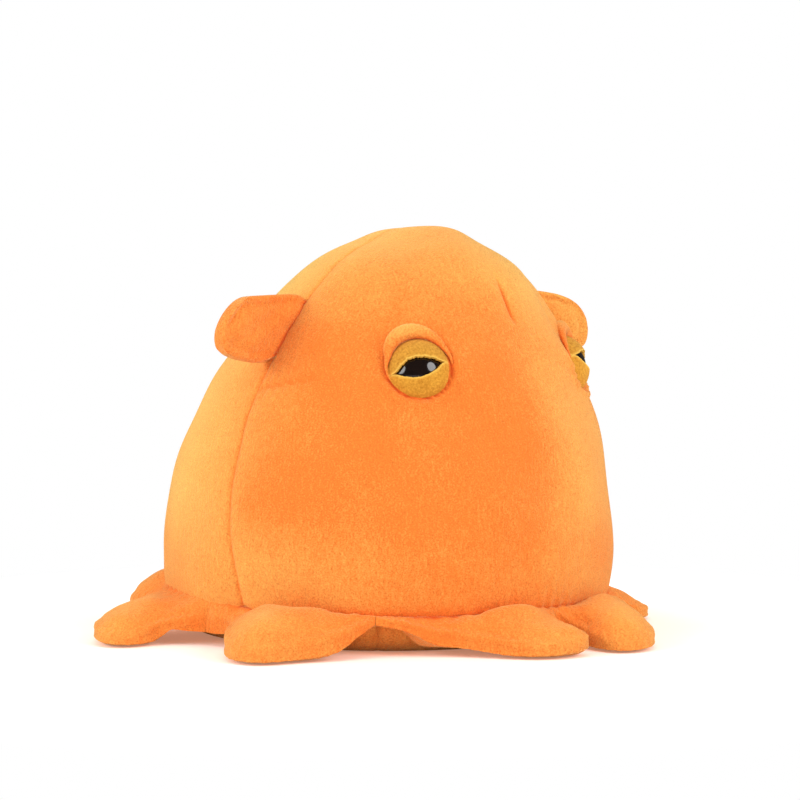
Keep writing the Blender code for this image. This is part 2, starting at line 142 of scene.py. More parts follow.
def seam_groove(away, along, depth, wave=0.0063):
    """The cross-section of a sewn seam: a narrow valley in a wide one, with puckers across it that fade in
    4 mm. The puckers are a sine along the seam, whose length wanders."""
    pucker = np.sin(2 * np.pi * along / wave + 1.9 * np.sin(along / 0.011)) * np.exp(-np.abs(away) / 0.004)
    valley = 0.62 * bell(away, 0.0011) + 0.38 * bell(away, 0.0045)
    return depth * (0.22 * pucker * (1 - bell(away, 0.0012)) - valley)


def forehead_dart(x, y, z, fade):
    """The distance from the forehead's dart, which bends to the left as it rises, and 1 where the dart is
    sewn. It fades out between the two heights of fade."""
    sewn = ease(z, 0.1315, 0.137) * (1 - ease(z, *fade)) * ease(-y, 0.02, 0.04)
    return x - 0.0008 - 0.0035 * ease(z, 0.15, 0.17), sewn


def fin_dart_gap(y, z, height):
    """The distance above the straight dart that runs forwards and up from a fin's root."""
    return z - height + 0.147 * (y + 0.0285)


def gathers(turn):
    """Puckers of the skirt seam, some 7 mm apart: a sine round the body whose length and height wander."""
    return np.sin(86 * turn + 2.6 * np.sin(7 * turn)) * (0.6 + 0.4 * np.sin(13 * turn + 1))


def eye_dip(points, side):
    """The dip that an eye is pulled into: a narrow groove round the lids, a gathered ring below it, and a soft
    bulge on the side of the face's middle. Each is a bell of the distance from its own round."""
    place, along, up, out = EYES[side]
    offset = points - place
    across, over = offset @ along, offset @ up
    radius, angle = np.hypot(across, over), np.arctan2(over, across)
    uneven = 1 + 0.32 * np.sin(17 * angle + 2 * np.sin(5 * angle))
    dip = 0.0014 * bell(radius - 0.0164, 0.0015) * ease(-over, -0.004, 0.006) * uneven
    dip = dip - 0.0008 * bell(radius - 0.0135, 0.0008) - 0.0003 * bell(radius, 0.024)
    inner = across * (1 if side == "right" else -1)
    dip = dip + 0.0016 * bell(np.hypot(inner - 0.0165, over + 0.003), 0.0075)
    return dip * ease(offset @ out, -0.03, -0.02)


def bag_relief(points):
    """How far the fabric stands off the plain bag: grooves along its seams and darts, a fold on the forehead,
    the skirt seam's puckers, the eyes' dips, bulges low behind and under the top, and lumps of stuffing,
    which are a sum of long sines."""
    x, y, z = np.moveaxis(points, -1, 0)
    top = ease(z, 0.168, 0.176)
    off = seam_groove(y + seam_forward(z), z + 0.3 * np.abs(x) * top, 0.0011 * (1 - 0.6 * top))
    off += seam_groove(x, z, 0.0014) * ease(y, *BACK_SEAM_START)
    away, sewn = forehead_dart(x, y, z, (0.143, 0.157))
    off += seam_groove(away, z, 0.0016, 0.0047) * sewn
    fold = x - 0.0335 + 0.06 * (z - 0.126)
    folded = ease(z, 0.122, 0.132) * (1 - ease(z, 0.146, 0.158)) * ease(-y, 0.02, 0.04)
    off += (0.0007 * bell(fold - 0.007, 0.005) - 0.0009 * bell(fold, 0.0035)) * folded
    for sign, height in FIN_DARTS.items():
        sewn = (x * sign > 0) * ease(y, -0.042, -0.036) * (1 - ease(y, -0.0135, -0.0125))
        off += seam_groove(fin_dart_gap(y, z, height), y, 0.0012, 0.0042) * sewn
    turn, rise = np.arctan2(x, -(y + 0.004)), z - SKIRT_SEAM_HEIGHT
    off += 0.0005 * gathers(turn) * np.exp(-rise / 0.0050) - 0.0004 * np.exp(-rise / 0.0016)
    off += 0.0025 * bell(np.abs(turn) - 2.15, 0.45) * bell(rise - 0.004, 0.011)
    off += eye_dip(points, "left") + eye_dip(points, "right")
    off += 0.0027 * bell(z - 0.156, 0.014) + 0.0013 * bell(np.hypot(x, y + TOP_LEAN) - 0.021, 0.011) * top
    for wave, phase in STUFFING_LUMPS:
        off += 0.00032 * np.sin(points @ wave + phase)
    return off


def strips(index):
    """The quads between the neighbouring rows and columns of a grid of vertex numbers."""
    return np.stack([index[:-1, :-1], index[1:, :-1], index[1:, 1:], index[:-1, 1:]], -1).reshape(-1, 4)


def faced(name, points, faces):
    """Makes the mesh. Points in one place, to a micrometre, become one, quads that this pinches become
    triangles, and those that it closes up are left out."""
    keys, first, index = np.unique(np.round(points * 1e6).astype(np.int64), axis=0, return_index=True,
                                   return_inverse=True)
    faces = index.reshape(-1)[faces]
    same = faces == np.roll(faces, -1, axis=1)
    pinched = faces[same.sum(1) == 1]
    kept = np.arange(4) != same[same.sum(1) == 1].argmax(1)[:, None]
    mesh = bpy.data.meshes.new(name)
    mesh.from_pydata(points[first], [], faces[~same.any(1)].tolist() + pinched[kept].reshape(-1, 3).tolist())
    mesh.shade_smooth()
    mesh.set_sharp_from_angle(angle=math.radians(55))
    obj = bpy.data.objects.new(name, mesh)
    bpy.context.scene.collection.objects.link(obj)
    return obj


def closed_grid(name, outer, inner, around=False):
    """A closed mesh between two grids of points, whose edges are joined by strips. A grid that goes all the
    way round has strips along its first and last rows only."""
    rows, columns = outer.shape[:2]
    index = np.arange(rows * columns).reshape(rows, columns)
    under = index + rows * columns
    rims = [(index[0, ::-1], under[0, ::-1]), (index[-1], under[-1])]
    rims += [] if around else [(index[:, 0], under[:, 0]), (index[::-1, -1], under[::-1, -1])]
    faces = [strips(index), strips(under)[:, ::-1]] + [strips(np.stack(rim)) for rim in rims]
    return faced(name, np.concatenate([outer.reshape(-1, 3), inner.reshape(-1, 3)]), np.concatenate(faces))


def crowded(count, *places):
    """Shares from 0 to 1 whose steps shrink to a third close to the places: a density's running sum."""
    share = np.linspace(0, 1, 2001)
    density = 1 + 2.4 * sum(bell(share - place, 0.05) for place in places)
    total = np.concatenate([[0], np.cumsum((density[1:] + density[:-1]) / 2)])
    return np.interp(np.linspace(0, 1, count), total / total[-1], share)


def panel(first, last, rows, shares):
    """Points of a panel on the plain bag: columns turn between its two seams, and rows sink from the top to
    the skirt seam. first and last are in quarter turns, and the side seams bend off theirs with height."""
    down = crowded(rows, 1.0)[:, None]
    turn = np.pi / 2 * (first + (last - first) * shares)[None, :] + 0 * down
    rise = np.pi / 2 * (1 - down) + 0 * turn
    for _ in range(3):
        flat = np.stack([np.sin(turn), -np.cos(turn)], -1) @ TOP_MIDDLE[:2]
        reach = -flat + np.sqrt(flat**2 - TOP_LEAN**2 + SEAM_RADIUS**2)
        lowest = np.arctan2(SKIRT_SEAM_HEIGHT - WIDEST_HEIGHT, reach)
        rise = np.pi / 2 + (lowest - np.pi / 2) * down
        points = bag_hit(turn, rise)
        away = np.maximum(np.hypot(points[..., 0], points[..., 1] + TOP_LEAN), 0.004)
        bend = np.arcsin(np.clip((TOP_LEAN - seam_forward(points[..., 2])) / away, -0.5, 0.5))
        start, end = [np.pi / 2 * turns + bend * turns * (abs(turns) == 1) for turns in (first, last)]
        turn = start + (end - start) * shares[None, :]
    return bag_hit(turn, rise)


def panel_piece(name, first, last, rows, columns, *crowds):
    """The panel's outside, swollen by the relief, and its inside one fabric's thickness under it."""
    plain = panel(first, last, rows, crowded(columns, *crowds))
    outward = bag_slope(plain)[0]
    outer = plain + outward * bag_relief(plain)[..., None]
    return closed_grid(name, outer, outer - outward * FABRIC)


def linear(code, alpha=1.0):
    """An sRGB hex colour as linear values: 12.92 parts near black and a power of 2.4 above."""
    parts = [int(code[i : i + 2], 16) / 255 for i in (1, 3, 5)]
    return (*[part / 12.92 if part <= 0.04045 else ((part + 0.055) / 1.055) ** 2.4 for part in parts], alpha)


def add(tree, kind, settings, inputs):
    """Adds a node with its own settings, and fills or links its inputs by name or number."""
    made = tree.nodes.new("ShaderNode" + kind)
    for name, value in settings.items():
        setattr(made, name, value)
    for name, value in inputs.items():
        if isinstance(value, bpy.types.NodeSocket):
            tree.links.new(value, made.inputs[name])
        else:
            made.inputs[name].default_value = value
    return made


def surface(name, **values):
    """A new material and its shader, with plain values on the shader's own sockets."""
    material = bpy.data.materials.new(name)
    material.use_nodes = True
    shader = material.node_tree.nodes["Principled BSDF"]
    for key, value in values.items():
        shader.inputs[key.replace("_", " ")].default_value = value
    return material, material.node_tree, shader


def velboa(name, parted_and_shaded, deep, pale):
    """Short-pile knitted polyester plush (velboa), 1.5 mm pile, printed with no pattern. The pile lies in soft
    drifts, which show as clouds some 35 mm wide and in brushed streaks 1.1 by 3.7 mm, and its tips make a grain
    of 0.7 mm, which is coarser than the real one, so that it shows. Its vertex attribute says how far the fabric
    tends to the paler colour, which holds painted light and sheen, and under -0.25 how far it takes the darker
    colour, where the pile parts in the seams and as painted shade in creases."""
    material, tree, shader = surface(
        name, Roughness=0.92, Sheen_Weight=0.85, Sheen_Roughness=0.34, Sheen_Tint=linear("#ffdc94"),
        Specular_IOR_Level=0.1)
    place = add(tree, "TexCoord", {}, {}).outputs["Object"]
    nap_and_light = add(tree, "Attribute", {"attribute_name": "nap_and_light"}, {}).outputs["Fac"]
    cloud = add(tree, "TexNoise", {}, {"Vector": place, "Scale": 28.0, "Detail": 3.0, "Roughness": 0.55,
                                       "Distortion": 0.6}).outputs["Fac"]
    brushed = add(tree, "Mapping", {}, {"Vector": place, "Rotation": (0.9, 0.6, 0.4), "Scale": (1.0, 1.0, 0.3)})
    streak = add(tree, "TexNoise", {}, {"Vector": brushed.outputs[0], "Scale": 900.0, "Detail": 2.0,
                                        "Distortion": 0.4}).outputs["Fac"]
    grain = add(tree, "TexNoise", {}, {"Vector": place, "Scale": 1500.0, "Detail": 2.0,
                                       "Roughness": 0.7}).outputs["Fac"]
    level = nap_and_light
    for pattern, amount in ((cloud, 0.5), (streak, 0.5), (grain, 0.8)):
        centred = add(tree, "Math", {"operation": "SUBTRACT"}, {0: pattern, 1: 0.5}).outputs[0]
        level = add(tree, "Math", {"operation": "MULTIPLY_ADD"}, {0: centred, 1: amount, 2: level}).outputs[0]
    colour = add(tree, "Mix", {"data_type": "RGBA"}, {0: level, 6: linear(deep), 7: linear(pale)}).outputs[2]
    pits = add(tree, "MapRange", {}, {0: grain, 1: 0.3, 2: 0.7, 3: 0.78, 4: 1.1}).outputs[0]
    colour = add(tree, "Mix", {"data_type": "RGBA", "blend_type": "MULTIPLY"},
                 {0: 1.0, 6: colour, 7: pits}).outputs[2]
    # Below -0.25 the colour goes over to the darker one: painted crease shade, where the pile also parts in
    # seams
    crease_shading = add(tree, "MapRange", {}, {0: nap_and_light, 1: -0.25, 2: -1.0}).outputs[0]
    colour = add(tree, "Mix", {"data_type": "RGBA"}, {0: crease_shading, 6: colour, 7: linear(parted_and_shaded)}).outputs[2]
    tree.links.new(colour, shader.inputs["Base Color"])
    rough = add(tree, "MapRange", {}, {0: cloud, 3: 0.86, 4: 0.98}).outputs[0]
    tree.links.new(rough, shader.inputs["Roughness"])
    height = add(tree, "Math", {"operation": "MULTIPLY_ADD"}, {0: streak, 1: 0.8, 2: grain}).outputs[0]
    bump = add(tree, "Bump", {}, {"Height": height, "Strength": 0.75, "Distance": 0.0008})
    tree.links.new(bump.outputs[0], shader.inputs["Normal"])
    return material


def dressed(obj, material, nap_and_light):
    """Gives a piece its cloth and its tendency to the paler colour."""
    obj.data.materials.append(material)
    attribute = obj.data.attributes.new("nap_and_light", "FLOAT", "POINT")
    attribute.data.foreach_set("value", np.broadcast_to(nap_and_light, len(obj.data.vertices)).astype(np.float32))
    return obj


def corners_of(obj):
    """The mesh's vertices as one array."""
    flat = np.empty(len(obj.data.vertices) * 3)
    obj.data.vertices.foreach_get("co", flat)
    return flat.reshape(-1, 3)


def pile_parting_and_crease_shade(points):
    """How far the pile parts in a seam and crease shade is painted there: bells across the side and back seams,
    the darts of the forehead and the fins, the skirt seam and the rounds where the lids press in."""
    x, y, z = points.T
    parted_and_shaded = 0.3 * bell(y + seam_forward(z), 0.0007) + 0.8 * bell(x, 0.0007) * ease(y, *BACK_SEAM_START)
    away, sewn = forehead_dart(x, y, z, (0.142, 0.153))
    parted_and_shaded += 1.1 * bell(away, 0.0006) * sewn
    parted_and_shaded += np.exp(-(z - SKIRT_SEAM_HEIGHT) / 0.0011)
    for sign, height in FIN_DARTS.items():
        beside = (x * sign > 0) * (np.abs(y + 0.027) < 0.014)
        parted_and_shaded += 0.3 * bell(fin_dart_gap(y, z, height), 0.0007) * beside
    for place, along, up, out in EYES.values():
        offset = points - place
        radius = np.hypot(offset @ along, offset @ up)
        parted_and_shaded += 1.1 * bell(radius - 0.0134, 0.0009) * (offset @ out > -0.02)
    return parted_and_shaded


def flank_nap_and_light(points):
    """How the fabric pales, as painted sheen and light: round the sides, twice as much above 65 mm as at the
    foot and less again at the back, and towards the top, as painted light from above. In the seams it darkens,
    where the pile parts and as painted crease shade."""
    x, y, z = points.T
    high = ease(z, 0.03, 0.065)
    nap_and_light = high * 0.8 * ease(y, -0.042, 0.03) + (1 - high) * 0.38 * ease(y, -0.08, -0.035)
    nap_and_light -= high * 0.35 * ease(y, 0.055, 0.09)
    return nap_and_light + 0.42 * ease(z, 0.122, 0.17) - pile_parting_and_crease_shade(points)


def face_nap_and_light(points):
    """Deep orange over the front, a little paler at its foot, and paler down the middle and on its left half as
    painted light and sheen.
    """
    x, y, z = points.T
    nap_and_light = flank_nap_and_light(points) + 0.1 * bell(x - 0.015, 0.03) * ease(-y, 0.04, 0.07)
    return nap_and_light + 0.16 * bell(z - 0.022, 0.018) + 0.35 * ease(x, -0.015, 0.03) * ease(z, 0.03, 0.06)


# The first colour is painted crease shade, where the pile also parts in seams; then the deep and the pale orange
plush = velboa("velboa_orange", "#d9501b", "#fb8233", "#fdc564")

face = panel_piece("face_plush_panel", -1, 1, 150, 240, 0.0, 0.5, 1.0)
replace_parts(dressed(face, plush, face_nap_and_light(corners_of(face))), "face_panel")
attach(face, "body")
for side, first, last in (("left", 1, 2), ("right", -2, -1)):
    back = panel_piece("back_plush_" + side, first, last, 150, 130, 0.0, 1.0)
    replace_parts(dressed(back, plush, flank_nap_and_light(corners_of(back))), "back_panel_" + side)
    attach(back, "body")


# ---- The underside ------------------------------------------------------------------------------
# One round of the same plush in a deeper shade, sewn to the skirt seam all round. The weight of the
# stuffing presses its middle flat on the table.

BASE_RADIUS = 0.082
BASE_BEND = 0.45  # the share of the way in from the seam that bends down to the flat
SEAM_INSET = 0.0012
SEAM_DROP = 0.0004
ARM_PITCH = math.radians(45)


def base_grid(inset, rows, columns):
    """Rings from the skirt seam round a quarter ellipse to the flat, then straight in to the middle, with
    puckers at the seam, a nick under each join of the skirt and a shallow seam across the middle."""
    share = np.linspace(0, 1, rows)
    bend = np.clip(share / BASE_BEND, 0, 1) * np.pi / 2
    radius = BASE_RADIUS + (SEAM_RADIUS - SEAM_INSET - inset - BASE_RADIUS) * np.cos(bend)
    radius *= 1 - np.clip((share - BASE_BEND) / (1 - BASE_BEND), 0, 1)
    rim = SKIRT_SEAM_HEIGHT - SEAM_DROP
    height = rim - (rim - inset) * np.sin(bend)
    turn = np.linspace(0, 2 * np.pi, columns)
    puckers = 0.0005 * np.sin(74 * turn + 2 * np.sin(5 * turn))[None, :] * bell(share - 0.1, 0.12)[:, None]
    radius = radius[:, None] + puckers
    across = np.abs((turn / ARM_PITCH + 0.5) % 1 - 0.5) * ARM_PITCH * radius
    seam = 0.0006 * bell(radius * np.sin(turn), 0.0012) * ease(radius, 0.003, 0.02)
    radius = radius - 0.0011 * bell(across, 0.0011) * ease(radius, 0.06, 0.08)
    height = np.broadcast_to(height[:, None], radius.shape) + seam
    return np.stack([radius * np.sin(turn), -radius * np.cos(turn), height], -1)


base = closed_grid("base_plush", base_grid(0.0, 70, 481), base_grid(FABRIC, 70, 481), around=True)
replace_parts(dressed(base, plush, 0.25), "base_panel")
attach(base, "body")


# ---- The stuffing -------------------------------------------------------------------------------
# Loose white polyester fibre, pushed in by hand through the back seam, so that it sits in soft lumps. It
# fills the bag to just inside the fabric and gives way behind the fins' roots.


FIBRE_FLOOR = 0.0035
FIBRE_TURN = 0.75  # the share of the rows that lead down the wall, before the rest run in over the flat


def wrapped(name, points):
    """A mesh from a grid of points whose last column is put on its first. Its poles are closed by the grid."""
    points[:, -1] = points[:, 0]
    return faced(name, points.reshape(-1, 3), strips(np.arange(points[..., 0].size).reshape(points.shape[:2])))


def fibre_grid(rows, columns):
    """Rings down the bag's inside and in over its flat, sunk 4 mm and by the product of two long sines, and
    dented by bells behind the fins' roots."""
    share = np.linspace(0, 1, rows)[:, None]
    turn = np.linspace(0, 2 * np.pi, columns)[None, :] + 0 * share
    rise = np.pi / 2 - (np.pi / 2 + 0.2) * np.clip(share / FIBRE_TURN, 0, 1) + 0 * turn
    points = bag_hit(turn, rise)
    dent = 0.0085 * bell(points[..., 1] + 0.012, 0.013) * bell(points[..., 2] - 0.136, 0.03)
    lumps = np.sin(points @ (130.0, 60.0, 90.0)) * np.sin(points @ (-70.0, 120.0, 110.0))
    points -= bag_slope(points)[0] * (0.0042 + dent + 0.0011 * lumps)[..., None]
    left = 1 - np.clip((share - FIBRE_TURN) / (1 - FIBRE_TURN), 0, 1)
    points[..., :2] *= left[..., None]
    points[..., 2] = np.where(left < 1, FIBRE_FLOOR + (points[..., 2] - FIBRE_FLOOR) * left**3, points[..., 2])
    points[0], points[-1] = points[0, 0], (0, 0, FIBRE_FLOOR)
    return points


# Crimped fibre, carded into tufts of some 6 mm, which shade each other from white to a warm grey
fibre_look, fibre_tree, fibre_shader = surface("polyester_fibre", Roughness=0.95, Sheen_Weight=0.3)
fibre_place = add(fibre_tree, "TexCoord", {}, {}).outputs["Object"]
tufts = add(fibre_tree, "TexNoise", {}, {"Vector": fibre_place, "Scale": 160.0, "Detail": 6.0,
                                         "Distortion": 1.5}).outputs["Fac"]
fibre_shade = add(fibre_tree, "Mix", {"data_type": "RGBA"},
                  {0: tufts, 6: linear("#d8d6cf"), 7: linear("#f6f5f1")}).outputs[2]
fibre_tree.links.new(fibre_shade, fibre_shader.inputs["Base Color"])
fibre_bump = add(fibre_tree, "Bump", {}, {"Height": tufts, "Strength": 0.8, "Distance": 0.002})
fibre_tree.links.new(fibre_bump.outputs[0], fibre_shader.inputs["Normal"])

filling = wrapped("fibre_filling", fibre_grid(80, 121))
filling.data.materials.append(fibre_look)
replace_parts(filling, "body_filling")
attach(filling, "body")


# ---- The skirt: eight arms and the webs between them --------------------------------------------
# An upper and a lower piece of plush are sewn together along one wavy outline that runs out round each
# short arm and back in an arch to the next, turned, stuffed in the arms only and sewn into the skirt seam.
# Each piece here is one arm with half of the web on either side.

HINGE_RADIUS = SEAM_RADIUS + 0.0006
# Each arm's turn round the body in degrees, its height in millimetres at its crown and its end, how far out it
# sinks from one to the other, how high its underside arches at the root, the CAD webs on its two sides, and its
# sewn outline in millimetres: out from the seam, along it, and up from the floor
ARMS = {
    "arm_right_1": (-22.5, 18.6, 12.5, (6, 23), 3, "web_right_1", "web_front", (
        (-3.4, -38.7, 12.9), (-1, -31, 11.2), (2, -25, 9.2), (5, -16, 6.6), (9, -6, 4.6), (15, 3, 3.4),
        (20.5, 10, 3), (25, 18, 3), (26.5, 26, 3.4), (25.5, 32.5, 4.6), (24, 38, 6), (21, 42.5, 7),
        (16, 42.5, 8), (11, 39.5, 9), (7, 36.5, 10), (3, 35.5, 11.2), (0, 36.5, 12.2), (-3.4, 38.7, 12.9))),
    "arm_right_2": (-67.5, 18.2, 16.5, (12, 33), 4, "web_right_2", "web_right_1", (
        (-3.4, -38.7, 5.6), (-2, -33, 5.2), (-0.5, -27, 6), (2, -22.5, 7.6), (6, -20, 8.2), (13, -18.5, 7.4),
        (20, -15.8, 5.8), (28, -11, 4.2), (34, -5, 3.2), (36.5, 1.5, 2.8), (36, 8.5, 2.6), (31.5, 13.5, 2.6),
        (25.5, 17.5, 2.8), (20.5, 22.5, 4), (16, 27, 5.4), (10, 31.5, 7.2), (3, 35, 9.8), (-3.4, 38.7, 12.9))),
    "arm_right_3": (-112.5, 17.2, 14, (14, 38), 9, "web_right_3", "web_right_2", (
        (-3.6, -38.7, 12.4), (-1, -31, 11), (4, -23, 9), (11, -15, 7), (19, -9.5, 5.5), (27, -5, 5),
        (33.5, 1.5, 5.4), (37, 10, 6), (39, 20, 6), (38.5, 27.5, 5), (34.5, 33.5, 3.4), (27.5, 35.5, 2.4),
        (21.5, 34, 2.8), (16, 31, 5.6), (10.5, 32, 6.8), (4, 35.5, 6), (-3.4, 38.7, 5.6))),
    "arm_right_4": (-157.5, 21, 17, (16, 40), 6, "web_back", "web_right_3", (
        (-3.6, -38.7, 12.4), (-1, -31, 10), (4, -23, 7), (11, -17, 4.4), (20, -13, 3.4), (28, -9, 3.2),
        (31, -2, 3.6), (32.3, 6, 4), (31.3, 14, 4), (27.3, 20.5, 4), (22, 25, 4.4), (15, 27.5, 5.6),
        (8, 29.5, 7.8), (3, 32.5, 10), (-3.6, 38.7, 12.4))),
    "arm_left_1": (22.5, 18, 15.5, (10, 33), 3, "web_front", "web_left_1", (
        (-3.4, -38.7, 12.9), (-1.5, -35.5, 9), (1.5, -33, 5), (6, -34.5, 3.2), (12.5, -39, 2.4), (20, -43, 2.2),
        (27, -43, 2.2), (32.5, -37.5, 2.8), (34.5, -29, 3.4), (32.5, -19, 3.8), (27, -8.5, 3.6), (19.5, 2, 3.6),
        (11.5, 11.5, 4.8), (5, 21, 7.2), (0, 30, 10.5), (-3.6, 38.7, 12.4))),
    "arm_left_2": (67.5, 13.4, 9, (4, 24), 5, "web_left_1", "web_left_2", (
        (-3.6, -38.7, 12.4), (0, -34.5, 9), (6, -32.5, 6), (13, -30.5, 4.2), (18.5, -26.5, 3.4),
        (22.5, -20, 3.2), (23, -11, 3), (21.5, -2, 3), (16, 7, 3.4), (9, 17, 5.2), (3, 25, 8), (-1, 32, 10.5),
        (-3.6, 38.7, 12.4))),
    "arm_left_3": (112.5, 17, 14, (10, 33), 5, "web_left_2", "web_left_3", (
        (-3.6, -38.7, 12.4), (-1, -31, 10), (4, -24, 7), (11, -20, 4.6), (19, -17.5, 3.2), (27, -15, 3),
        (31.5, -8.5, 3), (32, -0.5, 3), (27.5, 7, 3), (19, 12, 3.2), (11, 17, 4.6), (4, 23.5, 7), (-1, 31, 10),
        (-3.6, 38.7, 12.4))),
    "arm_left_4": (157.5, 17, 14, (10, 33), 5, "web_left_3", "web_back", (
        (-3.6, -38.7, 12.4), (-1, -31, 10), (4, -23, 7), (11, -16.5, 4.6), (20, -11.5, 3.2), (28, -7, 3),
        (33.5, -0.5, 3), (34.5, 7.5, 3), (30, 14.5, 3), (21, 17, 3.2), (12, 19.5, 4.6), (4, 24.5, 7),
        (-1, 31, 10), (-3.6, 38.7, 12.4))),
}
WALL_CLIMB = 0.008  # how far up the wall the skirt is sewn on behind
SEAM_LIFT = 0.0005
WEB_UNDERSIDE = 0.0112
FLOOR_CLEARANCE = 0.0005


def smooth_line(points, count, passes=5):
    """The line through the points, cut into 400 equal steps, averaged over its neighbours several times to round
    its corners, and cut again into count equal steps."""
    for steps, rounds in ((400, passes), (count, 0)):
        length = np.concatenate([[0], np.cumsum(np.linalg.norm(np.diff(points, axis=0), axis=1))])
        at = np.linspace(0, length[-1], steps)
        points = np.stack([np.interp(at, length, axis) for axis in points.T], -1)
        for _ in range(rounds):
            mean = sum(points[i : len(points) - 8 + i] for i in range(9)) / 9
            points = np.concatenate([points[:4], mean, points[-4:]])
    return points


def laid_out(root, edge, rows):
    """Columns from the root line to the sewn edge that neither cross nor leave the outline: an elliptic grid. A
    coarse one of 15 rows and 56 columns is relaxed towards a*x_uu - 2*b*x_uv + c*x_vv = 0, where a, b and c are
    the products of its two slopes, and then cut finer, closer together near the root and the edge."""
    edge = edge[:, :2]
    picks = np.linspace(0, len(edge) - 1, 56).round().astype(int)
    down = np.linspace(0, 1, 15)[:, None, None]
    grid = root[picks] + (edge[picks] - root[picks]) * down
    for _ in range(700):
        along, out = (grid[1:-1, 2:] - grid[1:-1, :-2]) / 2, (grid[2:, 1:-1] - grid[:-2, 1:-1]) / 2
        twist = (grid[2:, 2:] - grid[2:, :-2] - grid[:-2, 2:] + grid[:-2, :-2]) / 4
        a, b, c = [(one * other).sum(-1, keepdims=True)
                   for one, other in ((out, out), (along, out), (along, along))]
        beside, before = grid[1:-1, 2:] + grid[1:-1, :-2], grid[2:, 1:-1] + grid[:-2, 1:-1]
        grid[1:-1, 1:-1] = (a * beside + c * before - 2 * b * twist) / (2 * (a + c))
    share = crowded(rows, 0.0, 1.0)
    every = np.arange(len(edge))
    wide = np.stack([[np.interp(every, picks, row[:, axis]) for row in grid] for axis in (0, 1)], -1)
    at = np.clip(share * 14, 0, 13.9999)
    low, part = at.astype(int), (at % 1)[:, None, None]
    fine = wide[low] * (1 - part) + wide[low + 1] * part
    near = share[:, None, None]
    return fine + (root - fine[0]) * (1 - near) ** 4 + (edge - fine[-1]) * near**4


def edge_gap(plan, edge):
    """Every point's least distance from the outline, and the unit direction to it."""
    gap = np.full(plan.shape[:2], 9.0)
    toward = np.zeros_like(plan)
    for start, step in zip(edge[:-1, :2], np.diff(edge[:, :2], axis=0)):
        share = np.clip((plan - start) @ step / (step @ step), 0, 1)
        path = start + share[..., None] * step - plan
        length = np.hypot(path[..., 0], path[..., 1])
        toward = np.where((length < gap)[..., None], path / np.maximum(length, 1e-9)[..., None], toward)
        gap = np.minimum(gap, length)
    return gap, toward


def edge_puckers(edge, wave, wander):
    """Puckers along a sewn outline: a sine of the way along it, of a wave's length that wanders."""
    length = np.linspace(0, 1, len(edge)) * np.linalg.norm(np.diff(edge, axis=0), axis=1).sum()
    return np.sin(2 * np.pi * length / wave + 2 * np.sin(length / wander))


def swell(away, reach, power):
    """A cushion's cross-section: from 0 at its edge up a superellipse to 1, a reach inside the edge."""
    return (1 - (1 - np.clip(away / reach, 0, 1)) ** power) ** (1 / power)


def behind(bearing, start, end):
    """0 in front and 1 behind: the smooth cubic of how far round the body a direction lies, in radians."""
    return ease(np.abs((bearing + math.pi) % (2 * math.pi) - math.pi), start, end)


def seam_way_out(bearing):
    """How far outside the wall the skirt's seam shows: on the wall in front, 5.5 mm out round the back."""
    return 0.0055 * behind(bearing, 1.45, 2.3)


